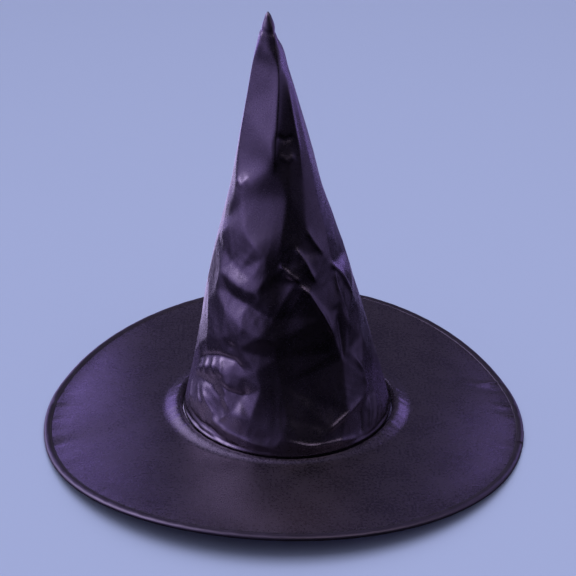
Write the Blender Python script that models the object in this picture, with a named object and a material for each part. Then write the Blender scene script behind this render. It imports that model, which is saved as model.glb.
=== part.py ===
"""Costume witch hat: a tall stiffened satin cone sewn into a wide satin brim with a wired, bound edge.

Metres, +Z up. The hat stands on its brim on the plane Z = 0, its front faces -Y, and the origin lies
on that plane under the centre of the brim. The crown is cut at the stretch of cloth where it bends,
and that bend turns about an axis parallel to Y.
"""

import math

import bmesh
import bpy
from mathutils import Vector

# Brim
BRIM_RADIUS = 0.220  # outside of the edge binding
SEAT_HEIGHT = 0.0146  # middle of the brim where it meets the crown
FRONT_LIFT = 0.020  # how far the edge stands up at the front
BACK_LIFT = 0.0215  # and at the back
LIFT_POWER = 1.4  # above 1 the edge leaves the floor gradually
EDGE_TWIST = 0.002  # back right and front left stand this much higher than the other two
REST_HALF_ANGLE = math.radians(15)  # half of each stretch of edge that lies flat on the floor
EDGE_LEVEL_WIDTH = 0.012  # the outermost band of the brim, level in section
RIDGE_HEIGHT = 0.006  # the brim cloth rolls up round the foot of the crown
RIDGE_WIDTH = 0.022
COVER_THICKNESS = 0.0005  # satin of the brim, top and under
CORE_THICKNESS = 0.0016  # stiffening sheet between them

# Edge
WIRE_RADIUS = 0.0008
WIRE_END_GAP = 0.0005
FERRULE_LENGTH = 0.014
FERRULE_WALL = 0.0004
FERRULE_SLACK = 0.0003
BINDING_THICKNESS = 0.0005
BINDING_WIDTH = 0.0073  # each leg of the folded tape, from the outside of the edge
LAP_LENGTH = 0.020
LAP_ANGLE = math.radians(-10)  # where the lap lies, just to the front of the right side
LAP_INSET = 0.0013  # from the tape's sewn edge to the lap's
THREAD_RADIUS = 0.0002
THREAD_INSET = 0.0007  # from the tape's sewn edge to the stitching

# Crown
FOOT_RADIUS = 0.095  # middle of the satin at the foot
FOOT_OFFSET = 0.003  # the foot's centre lies this far right of the brim's
CROWN_HEIGHT = 0.370  # foot to tip
TIP_BLUNTNESS = 0.012  # from the tip to where the straight sides would meet
TIP_OFFSET = -0.016  # the tip leans to the left
CROWN_SATIN = 0.0007
INTERLINING = 0.0008
INTERLINING_STOP = 0.020  # the interlining is left out of the last of the tip
TOP_LENGTH = 0.080  # the tip end that stays straight when the crown bends
BEND_LENGTH = 0.110  # the stretch below it that gives

# Sweatband
SWEATBAND_HEIGHT = 0.028
SWEATBAND_THICKNESS = 0.0008
SWEATBAND_STITCH_HEIGHT = 0.006

GAP = 0.0003  # clearance between pieces that touch
STATIONS = 48  # round the hat
RIDGE_ROWS = 4
FLAT_ROWS = 4
CROWN_ROWS = 2
FOLD_ROWS = 4  # in the half circle of the binding round the edge
TUBE_SIDES = 1  # bevel resolution of the wire: 6 sides

STACK_HALF = CORE_THICKNESS / 2 + GAP + COVER_THICKNESS
FOLD_RADIUS = STACK_HALF + GAP  # inside of the folded tape
WIRE_LINE = BRIM_RADIUS - BINDING_THICKNESS - FOLD_RADIUS
FERRULE_RADIUS = WIRE_RADIUS + FERRULE_SLACK + FERRULE_WALL
LAYER_RADIUS = WIRE_LINE - FERRULE_RADIUS - GAP
EDGE_REST = FOLD_RADIUS + BINDING_THICKNESS  # middle of the brim's edge where it lies on the floor
FOOT_DROP = STACK_HALF  # the crown's foot stands in the opening down to the under cover
APEX_HEIGHT = CROWN_HEIGHT + TIP_BLUNTNESS
BEND_END = CROWN_HEIGHT - TOP_LENGTH
BEND_START = BEND_END - BEND_LENGTH
SIDE_SLOPE = FOOT_RADIUS / APEX_HEIGHT
LINING_OFFSET = CROWN_SATIN / 2 + GAP + INTERLINING / 2
BAND_OFFSET = LINING_OFFSET + INTERLINING / 2 + GAP + SWEATBAND_THICKNESS / 2
OPENING_RADIUS = (
    FOOT_RADIUS + FOOT_DROP * SIDE_SLOPE + CROWN_SATIN / 2 * math.hypot(1, SIDE_SLOPE) + GAP
)


def clear_scene():
    for old in list(bpy.data.objects):
        bpy.data.objects.remove(old, do_unlink=True)


def material(name, colour, roughness, metallic=0.0, sheen=0.0):
    """A Principled material in linear colour."""
    made = bpy.data.materials.new(name)
    made.use_nodes = True
    shader = made.node_tree.nodes["Principled BSDF"]
    shader.inputs["Base Color"].default_value = (*colour, 1)
    shader.inputs["Roughness"].default_value = roughness
    shader.inputs["Metallic"].default_value = metallic
    shader.inputs["Sheen Weight"].default_value = sheen
    made.diffuse_color = (*colour, 1)
    return made


def place(name, mesh, finish):
    """Links a named object with its material, shaded smooth."""
    made = bpy.data.objects.new(name, mesh)
    made.data.materials.append(finish)
    bpy.context.scene.collection.objects.link(made)
    return made


def station(index):
    return 2 * math.pi * index / STATIONS


def skin(name, rows, finish, offset, thickness, closed=True, pole=None):
    """One sheet: rows of points joined by faces, moved along its normal by offset, then given its wall.

    The rows run round the hat, and the last is joined to a pole if there is one. offset is measured to
    the middle of the wall.
    """
    work = bmesh.new()
    made = [[work.verts.new(point) for point in row] for row in rows]
    for low, high in zip(made, made[1:]):
        count = len(low)
        for i in range(count if closed else count - 1):
            j = (i + 1) % count
            work.faces.new((low[i], low[j], high[j], high[i]))
    if pole is not None:
        top = work.verts.new(pole)
        last = made[-1]
        for i, corner in enumerate(last):
            work.faces.new((corner, last[(i + 1) % len(last)], top))
    mesh = bpy.data.meshes.new(name)
    work.to_mesh(mesh)
    work.free()
    mesh.shade_smooth()
    sheet = place(name, mesh, finish)
    if offset:
        move = sheet.modifiers.new("Offset", "DISPLACE")
        move.mid_level = 0
        move.strength = offset
    wall = sheet.modifiers.new("Wall", "SOLIDIFY")
    wall.thickness = thickness
    wall.offset = 0
    wall.use_even_offset = True
    return sheet


def thread(name, points, radius, finish, closed=True):
    """A round wire or thread through points, as a curve with a bevel."""
    curve = bpy.data.curves.new(name, "CURVE")
    curve.dimensions = "3D"
    spline = curve.splines.new("POLY")
    spline.points.add(len(points) - 1)
    for made, point in zip(spline.points, points):
        made.co = (*point, 1)
    spline.use_cyclic_u = closed
    curve.bevel_depth = radius
    curve.bevel_resolution = TUBE_SIDES
    curve.use_fill_caps = not closed
    return place(name, curve, finish)


def crown_radius(height):
    return FOOT_RADIUS * (1 - height / APEX_HEIGHT)


def crown_centre(height):
    return FOOT_OFFSET + (TIP_OFFSET - FOOT_OFFSET) * height / CROWN_HEIGHT


def crown_point(angle, height):
    """The middle of the crown's satin, height above its foot: a cone whose centre line leans left."""
    radius = crown_radius(height)
    return Vector(
        (
            crown_centre(height) + radius * math.cos(angle),
            radius * math.sin(angle),
            SEAT_HEIGHT + height,
        )
    )


def crown_rows(low, high, rows=CROWN_ROWS):
    heights = [low + (high - low) * row / rows for row in range(rows + 1)]
    return [[crown_point(station(i), height) for i in range(STATIONS)] for height in heights]


def edge_height(angle):
    """The brim's edge: flat on the floor at both sides, raised at the front and the back."""
    rest = math.sin(REST_HALF_ANGLE)
    out = max(0.0, (abs(math.sin(angle)) - rest) / (1 - rest)) ** LIFT_POWER
    lift = BACK_LIFT if math.sin(angle) > 0 else FRONT_LIFT
    return EDGE_REST + out * (lift + EDGE_TWIST * math.sin(2 * angle))


def brim_point(angle, radius, above=0.0):
    """The middle of the brim: down from the crown to the edge, with the rolled ridge at the foot."""
    out = (radius - OPENING_RADIUS) / (BRIM_RADIUS - EDGE_LEVEL_WIDTH - OPENING_RADIUS)
    out = 1 - math.cos(math.pi / 2 * min(out, 1.0))
    ridge = min((radius - OPENING_RADIUS) / RIDGE_WIDTH, 1.0)
    height = SEAT_HEIGHT + (edge_height(angle) - SEAT_HEIGHT) * out
    height += RIDGE_HEIGHT * math.sin(math.pi * ridge) ** 2
    centre = FOOT_OFFSET * (1 - out)
    return Vector(
        (centre + radius * math.cos(angle), radius * math.sin(angle), height + above)
    )


def brim_rows():
    ridge = [OPENING_RADIUS + RIDGE_WIDTH * row / RIDGE_ROWS for row in range(RIDGE_ROWS)]
    start, end = OPENING_RADIUS + RIDGE_WIDTH, BRIM_RADIUS - EDGE_LEVEL_WIDTH
    flat = [start + (end - start) * row / FLAT_ROWS for row in range(FLAT_ROWS + 1)] + [LAYER_RADIUS]
    return [[brim_point(station(i), radius) for i in range(STATIONS)] for radius in ridge + flat]


def fold_section():
    """The folded tape's middle line as (radius, height) pairs, from its upper sewn edge to its lower."""
    arm = FOLD_RADIUS + BINDING_THICKNESS / 2
    inner = BRIM_RADIUS - BINDING_WIDTH
    points = [(inner, arm)]
    for step in range(FOLD_ROWS + 1):
        turn = math.pi * step / FOLD_ROWS
        points.append((WIRE_LINE + arm * math.sin(turn), arm * math.cos(turn)))
    return points + [(inner, -arm)]


def make_brim(satin, stiffener):
    layer = STACK_HALF - COVER_THICKNESS / 2
    skin("brim_top_cover", brim_rows()[::-1], satin, layer, COVER_THICKNESS)
    skin("brim_core", brim_rows()[::-1], stiffener, 0, CORE_THICKNESS)
    skin("brim_under_cover", brim_rows()[::-1], satin, -layer, COVER_THICKNESS)


def make_edge(tape, steel, cotton):
    rows = [
        [brim_point(station(i), radius, height) for i in range(STATIONS)]
        for radius, height in fold_section()
    ]
    skin("edge_binding", rows[::-1], tape, 0, BINDING_THICKNESS)

    top = FOLD_RADIUS + BINDING_THICKNESS
    lap_half = LAP_LENGTH / BRIM_RADIUS / 2
    lap_inner = BRIM_RADIUS - BINDING_WIDTH + LAP_INSET
    lap_middle = top + GAP + BINDING_THICKNESS / 2
    lap_angles = (LAP_ANGLE - lap_half, LAP_ANGLE, LAP_ANGLE + lap_half)
    lap = [
        [brim_point(angle, radius, lap_middle) for angle in lap_angles]
        for radius in (WIRE_LINE, lap_inner)
    ]
    skin("binding_lap", lap, tape, 0, BINDING_THICKNESS, closed=False)

    stitch = BRIM_RADIUS - BINDING_WIDTH + THREAD_INSET
    line = [
        brim_point(station(i), stitch, top + GAP + THREAD_RADIUS) for i in range(STATIONS)
    ]
    thread("binding_topstitch", line, THREAD_RADIUS, cotton)

    make_wire(steel)


def make_wire(steel):
    """The hoop of spring wire, its two ends held in a ferrule at the back."""
    first = STATIONS // 4
    corners = [brim_point(station(first + i), WIRE_LINE) for i in range(STATIONS + 1)]
    along = corners[1] - corners[0]
    middle = corners[0] + along / 2
    half_gap = along.normalized() * WIRE_END_GAP / 2
    route = [middle + half_gap, *corners[1:STATIONS], corners[0], middle - half_gap]
    thread("brim_wire", route, WIRE_RADIUS, steel, closed=False)

    inside = WIRE_RADIUS + FERRULE_SLACK
    sleeve = bmesh.new()
    bmesh.ops.create_cone(
        sleeve, segments=16, radius1=inside, radius2=inside, depth=FERRULE_LENGTH, cap_ends=False
    )
    mesh = bpy.data.meshes.new("wire_ferrule")
    sleeve.to_mesh(mesh)
    sleeve.free()
    mesh.shade_smooth()
    ferrule = place("wire_ferrule", mesh, steel)
    wall = ferrule.modifiers.new("Wall", "SOLIDIFY")
    wall.thickness = FERRULE_WALL
    wall.offset = 1
    ferrule.location = middle
    ferrule.rotation_mode = "QUATERNION"
    ferrule.rotation_quaternion = along.to_track_quat("Z", "Y")


def make_crown(satin, interlining):
    cuts = (-FOOT_DROP, BEND_START, BEND_END)
    for part, low, high in zip(("lower", "bend"), cuts, cuts[1:]):
        low = low if part == "lower" else low + GAP
        rows = crown_rows(low, high)
        skin(f"crown_satin_{part}", rows, satin, 0, CROWN_SATIN)
        skin(f"crown_interlining_{part}", rows, interlining, -LINING_OFFSET, INTERLINING)

    hinge = bpy.data.objects.new("crown_bend_axis", None)
    middle = (BEND_START + BEND_END) / 2
    hinge.location = (crown_centre(middle), 0, SEAT_HEIGHT + middle)
    bpy.context.scene.collection.objects.link(hinge)
    low = BEND_END + GAP
    tip = Vector((TIP_OFFSET, 0, SEAT_HEIGHT + CROWN_HEIGHT))
    top = skin("crown_satin_top", crown_rows(low, CROWN_HEIGHT), satin, 0, CROWN_SATIN, pole=tip)
    stop = CROWN_HEIGHT - INTERLINING_STOP
    rows = crown_rows(low, stop)
    lining = skin("crown_interlining_top", rows, interlining, -LINING_OFFSET, INTERLINING)
    for piece in (top, lining):
        piece.parent = hinge
        piece.matrix_parent_inverse.translation = -hinge.location


def make_sweatband(ribbon, cotton):
    rows = crown_rows(-FOOT_DROP, SWEATBAND_HEIGHT)
    skin("sweatband", rows, ribbon, -BAND_OFFSET, SWEATBAND_THICKNESS)
    inward = BAND_OFFSET + SWEATBAND_THICKNESS / 2 + GAP + THREAD_RADIUS
    inward *= math.hypot(1, SIDE_SLOPE)
    radius = crown_radius(SWEATBAND_STITCH_HEIGHT) - inward
    centre = Vector(
        (crown_centre(SWEATBAND_STITCH_HEIGHT), 0, SEAT_HEIGHT + SWEATBAND_STITCH_HEIGHT)
    )
    line = [
        centre + Vector((math.cos(station(i)), math.sin(station(i)), 0)) * radius
        for i in range(STATIONS)
    ]
    thread("sweatband_stitch", line, THREAD_RADIUS, cotton)


def main():
    clear_scene()
    satin = material("black_satin", (0.012, 0.009, 0.018), 0.35, sheen=0.3)
    tape = material("bias_tape", (0.016, 0.012, 0.026), 0.45, sheen=0.3)
    stiffener = material("brim_stiffener", (0.030, 0.030, 0.032), 0.85)
    interlining = material("fused_interlining", (0.022, 0.022, 0.024), 0.9)
    ribbon = material("grosgrain_ribbon", (0.010, 0.010, 0.011), 0.7)
    cotton = material("sewing_thread", (0.014, 0.012, 0.018), 0.6)
    steel = material("spring_wire", (0.45, 0.46, 0.48), 0.35, metallic=1.0)
    make_brim(satin, stiffener)
    make_edge(tape, steel, cotton)
    make_crown(satin, interlining)
    make_sweatband(ribbon, cotton)


main()
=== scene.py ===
"""The looks of a satin witch hat: creased crown, taut wired brim, bound and stitched edge."""

import bmesh
import bpy
import numpy as np
from mathutils import Matrix, Vector
from mathutils.geometry import delaunay_2d_cdt


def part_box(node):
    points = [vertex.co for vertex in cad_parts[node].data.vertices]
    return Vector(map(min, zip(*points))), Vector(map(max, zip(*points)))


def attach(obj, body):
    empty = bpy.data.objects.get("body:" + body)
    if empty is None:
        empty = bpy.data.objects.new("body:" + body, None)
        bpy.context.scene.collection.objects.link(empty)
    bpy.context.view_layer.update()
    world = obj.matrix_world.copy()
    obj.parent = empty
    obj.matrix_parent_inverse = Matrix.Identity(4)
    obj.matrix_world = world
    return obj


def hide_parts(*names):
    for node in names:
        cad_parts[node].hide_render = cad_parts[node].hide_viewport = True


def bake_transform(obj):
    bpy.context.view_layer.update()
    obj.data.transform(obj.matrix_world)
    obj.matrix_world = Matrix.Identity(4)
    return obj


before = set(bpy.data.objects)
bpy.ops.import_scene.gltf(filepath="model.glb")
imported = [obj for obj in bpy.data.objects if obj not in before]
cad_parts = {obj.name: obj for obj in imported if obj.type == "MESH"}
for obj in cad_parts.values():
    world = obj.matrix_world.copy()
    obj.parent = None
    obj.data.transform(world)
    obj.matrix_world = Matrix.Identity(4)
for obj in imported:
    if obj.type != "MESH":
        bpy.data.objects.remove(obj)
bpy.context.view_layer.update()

MM = 0.001
TURN = 2 * np.pi

# ---------------------------------------------------------------- sizes read from the frame
_, binding_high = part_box("edge_binding")
foot_low, foot_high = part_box("crown_satin_lower")
tip_low, tip_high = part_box("crown_satin_top")
band_low, band_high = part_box("sweatband")

BRIM_RADIUS = binding_high.x
FOOT_CENTRE = (foot_low.x + foot_high.x) / 2
FOOT_RADIUS = (foot_high.x - foot_low.x) / 2
FOOT_BOTTOM = foot_low.z
TIP_X = (tip_low.x + tip_high.x) / 2 - 4 * MM
TIP_HEIGHT = tip_high.z

# The brim's build-up, as the frame has it
WALL = 0.5 * MM
STACK = 1.6 * MM  # half of the cloth and stiffener under the binding
FOLD = STACK + 0.3 * MM  # inside of the folded tape
EDGE_REST = FOLD + WALL
SEAT = FOOT_BOTTOM + STACK  # the brim's middle at the foot of the crown
LIFT_FRONT = 20 * MM
LIFT_BACK = 21.5 * MM
LIFT_TWIST = 2 * MM
REST_ANGLE = np.radians(15)
EDGE_LEVEL = 12 * MM
TAPE_LEG = 7.3 * MM
OPENING = FOOT_RADIUS + 0.4 * MM
WIRE_LINE = BRIM_RADIUS - WALL - FOLD

CROWN_RISE = TIP_HEIGHT - SEAT
APEX_RISE = CROWN_RISE + 12 * MM
SLANT = np.hypot(FOOT_RADIUS, APEX_RISE)
SPREAD = FOOT_RADIUS / SLANT  # a turn round the cone times this is a turn in the flat pattern

BAND_INSET = 5 * MM  # from the satin to the inside of the sweatband, clear of the creased interlining
BAND_WALL = 0.5 * MM


# ---------------------------------------------------------------- meshes
def surface(name, points, wrap=True, flip=False, pole=None, uv=None):
    """A grid of points, rows by columns, made into faces; wrap joins the last column to the first.

    pole closes the last row onto one point. uv is rows by (columns + 1 if wrap) by 2, in metres.
    """
    rows, cols = points.shape[:2]
    count = cols if wrap else cols - 1
    row, col = np.meshgrid(np.arange(rows - 1), np.arange(count), indexing="ij")
    near, far = row * cols + col, row * cols + (col + 1) % cols
    quads = np.stack([near, far, far + cols, near + cols], -1).reshape(-1, 4)
    corner_rows = np.stack([row, row, row + 1, row + 1], -1).reshape(-1, 4)
    corner_cols = np.stack([col, col + 1, col + 1, col], -1).reshape(-1, 4)
    if flip:
        quads, corner_rows, corner_cols = (a[:, ::-1] for a in (quads, corner_rows, corner_cols))
    places = points.reshape(-1, 3)
    tips = np.zeros((0, 3), int)
    if pole is not None:
        places = np.vstack([places, pole])
        last = (rows - 1) * cols + np.arange(count)
        tips = np.stack([last, (rows - 1) * cols + (np.arange(count) + 1) % cols, 0 * last + rows * cols], -1)
        if flip:
            tips = tips[:, ::-1]
    mesh = bpy.data.meshes.new(name)
    mesh.vertices.add(len(places))
    mesh.vertices.foreach_set("co", places.astype(np.float32).ravel())
    loops = np.concatenate([quads.ravel(), tips.ravel()])
    sizes = np.concatenate([np.full(len(quads), 4), np.full(len(tips), 3)])
    mesh.loops.add(len(loops))
    mesh.loops.foreach_set("vertex_index", loops)
    mesh.polygons.add(len(sizes))
    mesh.polygons.foreach_set("loop_start", np.concatenate([[0], np.cumsum(sizes)[:-1]]))
    mesh.update(calc_edges=True)
    if uv is not None:
        layer = mesh.uv_layers.new(name="cloth")
        flat = uv[corner_rows, corner_cols].reshape(-1, 2)
        if len(tips):
            ends = np.stack([np.arange(count), np.arange(count) + 1, np.arange(count)], -1)
            flat = np.vstack([flat, uv[rows - 1, ends[:, ::-1] if flip else ends].reshape(-1, 2)])
        layer.data.foreach_set("uv", flat.astype(np.float32).ravel())
    mesh.shade_smooth()
    mesh.validate()
    made = bpy.data.objects.new(name, mesh)
    bpy.context.scene.collection.objects.link(made)
    return made


def ease(value):
    """0 below 0, 1 above 1 and a smooth S between."""
    t = np.clip(value, 0, 1)
    return t * t * (3 - 2 * t)


def bump(distance, width):
    return np.exp(-((distance / width) ** 2))


def turn_gap(angle, middle):
    """The angle from middle, wrapped to half a turn each way."""
    return (angle - middle + np.pi) % TURN - np.pi


# ---------------------------------------------------------------- crown
def pattern(azimuth, rise):
    """The crown's flat pattern, in millimetres: a cone unrolled about its apex, front on the middle line.

    azimuth is 0 at the front and grows to the hat's right; rise is the height above the brim.
    """
    slant = SLANT * (1 - rise / APEX_RISE) / MM
    fan = azimuth * SPREAD
    return slant * np.sin(fan), -slant * np.cos(fan)


# Creases pressed into the crown, each a path of (azimuth in degrees, height in mm, how far it stands
# out in mm). The cloth lies flat between them, so a path that stands out is a ridge and one that
# stands in is a valley.
CREASES = (
    # long pressed edges that run down from the tip
    (
        (30, 350, 0.3), (29, 324, 0.8), (18, 311, 1.0), (8, 291, 1.3),
        (4, 277, 1.4), (-4, 264, 1.4), (-4, 248, 0.6),
    ),
    ((24, 253, 0.6), (15, 221, 1.0), (6, 196, 0.9), (2, 172, 0.5)),
    (
        (49, 319, 0.6), (47, 304, 1.0), (45, 289, 1.2), (43, 274, 1.2),
        (45, 259, 1.3), (40, 238, 1.3), (36, 218, 1.2),
    ),
    ((36, 218, 1.2), (31, 198, 1.3), (45, 170, 1.4), (53, 160, 0.4)),
    (
        (70, 312, 0.8), (66, 280, 1.2), (62, 250, 1.2), (58, 225, 1.2),
        (56, 203, 1.0), (56, 184, 0.8), (53, 160, 0.4),
    ),
    ((-80, 330, 0.5), (-76, 290, 1.0), (-72, 255, 1.0), (-66, 236, 0.8)),
    # notches at the left side
    ((-48, 226, 0.8), (-57, 216, 1.6), (-66, 207, 1.4), (-78, 204, 0.8)),
    ((-46, 214, -0.6), (-56, 205, -1.8), (-67, 199, -2.2), (-80, 193, -1.6)),
    ((-48, 200, 0.3), (-58, 190, 1.8), (-67, 181, 1.8), (-78, 174, 1.0)),
    # slack cloth to the left of the front
    ((-34, 190, 0.4), (-22, 181, 0.9), (-12, 173, 0.9), (-10, 158, 0.4)),
    ((-60, 168, -0.8), (-48, 163, -2.6), (-38, 158, -3.0), (-26, 152, -1.2)),
    ((-58, 150, 0.6), (-46, 148, 1.4), (-34, 145, 1.2), (-20, 142, 0.4)),
    ((-46, 137, -1.6), (-37, 134, -3.4), (-26, 131, -3.8), (-15, 125, -2.8), (-6, 121, -0.8)),
    ((-46, 122, 0.8), (-31, 113, 1.8), (-16, 105, 1.6), (-5, 102, 0.6)),
    ((-36, 94, -1.4), (-20, 89, -2.0), (-4, 88, -1.0)),
    # crisp creases to the right of the front
    ((3, 165, 0.4), (9, 159, 1.3), (17, 152, 0.4)),
    ((18, 178, 0.2), (24, 170, 1.2), (31, 152, 0.6)),
    ((13, 152, 0.2), (24, 142, 1.4), (33, 121, 1.6), (38, 104, 1.2), (41, 88, 0.3)),
    ((49, 156, -0.6), (42, 145, -1.6), (38, 124, -0.8)),
    ((53, 160, 0.4), (62, 149, 1.5), (70, 126, 0.8)),
    ((54, 146, 0.4), (51, 128, 1.5), (52, 108, 1.6), (47, 84, 0.6)),
    ((47, 122, -0.8), (46, 98, -1.2), (43, 80, -0.4)),
    ((51, 80, 0.6), (58, 60, 1.6), (57, 50, 1.4), (52, 34, 0.5)),
    ((48, 31, -1.2), (46, 20, -1.5), (44, 9, -0.8)),
    ((57, 38, 0.2), (55, 24, 1.2), (51, 10, 0.6)),
    ((65, 36, 0.2), (62, 24, 1.2), (57, 10, 0.6)),
    ((50, 38, 0.3), (38, 33, 1.1), (26, 24, 0.3)),
    # gathers over the brim to the left
    ((-84, 58, 0.2), (-74, 74, 0.7), (-62, 88, 0.9), (-46, 96, 0.9), (-30, 93, 0.6), (-18, 76, 0.1)),
    ((-80, 46, -0.6), (-70, 56, -1.0), (-60, 68, -1.2), (-46, 77, -1.1), (-33, 78, -1.0), (-25, 68, -0.8)),
    ((-68, 55, 1.0), (-58, 64, 1.8), (-47, 70, 2.0), (-38, 67, 1.6)),
    ((-76, 45, -0.8), (-64, 46, -1.5), (-51, 50, -1.3), (-43, 54, 0.6)),
    ((-41, 62, 1.8), (-38, 54, 2.0), (-37, 46, 1.6)),
    ((-26, 64, -1.2), (-24, 54, -3.0), (-28, 48, -2.4)),
    ((-41, 45, -0.8), (-39, 36, -1.0), (-42, 28, -0.2)),
    ((-32, 34, 2.2), (-26, 36, 3.2), (-20, 34, 2.0)),
    ((-80, 32, 1.4), (-70, 27, 3.2), (-60, 28, 3.4), (-52, 32, 1.8)),
    ((-58, 44, 1.4), (-52, 37, 1.8), (-47, 29, 0.8)),
    ((-78, 14, 0.2), (-66, 11, -0.8), (-53, 11, -1.4), (-38, 10, -1.2), (-24, 5, -0.4)),
    (
        (-54, 27, 0.6), (-44, 23, 1.8), (-34, 19, 2.4), (-20, 16, 2.4),
        (-5, 13, 1.8), (8, 15, 1.4), (22, 20, 0.6),
    ),
    ((6, 8, 0.6), (16, 10, 1.5), (30, 9, 1.5), (44, 5, 0.6)),
    # the back and the far sides
    ((150, 340, 0.4), (146, 280, 1.2), (138, 225, 1.4), (142, 180, 0.6)),
    ((142, 172, 0.6), (150, 140, 1.4), (146, 105, 1.6), (152, 62, 0.4)),
    ((-150, 330, 0.4), (-142, 260, 1.3), (-146, 205, 1.4), (-136, 165, 0.4)),
    ((-135, 156, 0.6), (-126, 122, 1.6), (-130, 84, 1.4), (-118, 42, 0.4)),
    ((-162, 122, -0.8), (-148, 114, -3.0), (-136, 108, -3.0), (-122, 104, -0.8)),
    ((-160, 100, 0.6), (-146, 94, 1.6), (-136, 92, 1.4)),
    ((170, 98, -0.8), (158, 86, -2.8), (142, 82, -2.6), (128, 86, -0.8)),
    ((112, 152, -0.6), (121, 130, -2.2), (134, 117, -0.8)),
    ((96, 112, 0.4), (104, 86, 1.6), (100, 58, 0.6)),
    ((-100, 196, 0.4), (-105, 162, 1.5), (-98, 130, 0.4)),
    ((-92, 92, -0.6), (-104, 71, -2.2), (-112, 46, -0.6)),
    ((84, 62, 0.3), (92, 42, 1.4), (90, 18, 0.4)),
    ((172, 52, 0.3), (161, 36, 1.6), (150, 16, 0.4)),
    ((-172, 46, 0.3), (-161, 32, 1.5), (-156, 12, 0.4)),
    ((108, 300, 0.3), (106, 250, 1.2), (112, 205, 0.4)),
    ((-112, 310, 0.3), (-108, 262, 1.2), (-114, 222, 0.4)),
)

# Wide stretches where the cloth lies smooth: (lowest and highest azimuth, lowest and highest height)
CALM = ((-80, 0, 195, 345), (0, 60, 175, 345), (5, 36, 35, 150), (-180, 180, 0, 3))

# Narrow pleats and threads of slack, standing out from the cloth round them: a path of (azimuth, height),
# the height of the pleat and its width on the left and on the right of the path, in mm.
PLEATS = (
    # the gathers at the left
    ([(-74, 58), (-62, 72), (-47, 80), (-33, 81), (-24, 72)], -1.1, 1.8, 2.2),
    ([(-72, 62), (-71, 55), (-69, 47)], 1.0, 1.3, 1.8),
    ([(-66, 67), (-65, 58), (-63, 50)], 1.2, 1.3, 1.8),
    ([(-60, 72), (-58, 63), (-56, 53)], 1.3, 1.3, 1.9),
    ([(-53, 76), (-51, 68), (-49, 58)], 1.1, 1.4, 2.0),
    ([(-46, 78), (-43, 71), (-42, 61)], 1.0, 1.4, 2.2),
    ([(-70, 48), (-62, 50), (-54, 50), (-47, 54)], -0.9, 1.8, 1.8),
    ([(-44, 58), (-36, 53), (-27, 52), (-21, 56)], -1.0, 1.5, 2.4),
    ([(-76, 40), (-70, 30), (-67, 20)], 1.0, 1.5, 2.2),
    ([(-66, 43), (-58, 32), (-52, 22)], 1.1, 1.5, 2.4),
    ([(-58, 42), (-50, 32), (-43, 26)], 1.0, 1.5, 2.2),
    ([(-40, 48), (-35, 40), (-36, 30), (-41, 22)], 1.1, 1.6, 1.6),
    ([(-72, 16), (-60, 12), (-46, 13), (-34, 8)], -0.9, 1.8, 2.4),
    ([(-50, 24), (-36, 18), (-20, 14), (-4, 10)], 1.1, 1.6, 2.4),
    ([(-60, 8), (-46, 8), (-34, 4)], 0.9, 1.2, 1.2),
    # crisp creases to the right of the front
    ([(0, 168), (9, 159), (19, 152)], 1.5, 1.5, 1.8),
    ([(16, 182), (24, 169), (32, 148)], 1.5, 1.8, 1.5),
    ([(12, 153), (24, 141), (33, 120), (40, 96)], 1.7, 1.6, 2.4),
    ([(30, 196), (38, 182), (45, 170)], 0.9, 1.5, 2.2),
    ([(50, 163), (61, 149), (71, 124)], 1.6, 1.5, 2.2),
    ([(55, 158), (52, 140), (55, 118), (53, 96)], 1.3, 1.5, 2.0),
    ([(52, 82), (58, 62), (57, 48), (51, 32)], 1.4, 1.5, 2.4),
    ([(53, 40), (38, 33), (22, 21)], 1.3, 1.3, 1.8),
    ([(58, 38), (55, 24), (51, 10)], 1.2, 1.4, 1.4),
    ([(65, 38), (62, 24), (57, 10)], 1.2, 1.4, 1.4),
    ([(72, 36), (69, 22), (64, 10)], 1.1, 1.4, 1.4),
    ([(-4, 20), (12, 12), (30, 12), (44, 8)], 1.2, 1.4, 1.6),
    # slow folds higher up
    ([(27, 338), (17, 305), (4, 268), (-2, 240)], 1.5, 1.6, 4.0),
    ([(46, 318), (43, 288), (43, 262), (38, 232)], 0.9, 1.6, 3.2),
    ([(3, 273), (20, 269), (40, 271)], -0.9, 1.6, 2.0),
    ([(6, 258), (20, 252), (34, 256)], 0.8, 2.0, 2.0),
    ([(-62, 232), (-50, 228), (-40, 236)], 0.8, 2.0, 3.0),
    ([(46, 120), (45, 98), (43, 76)], -1.0, 1.4, 1.4),
    ([(48, 32), (47, 20), (45, 9)], -0.9, 1.4, 1.4),
)


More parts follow.
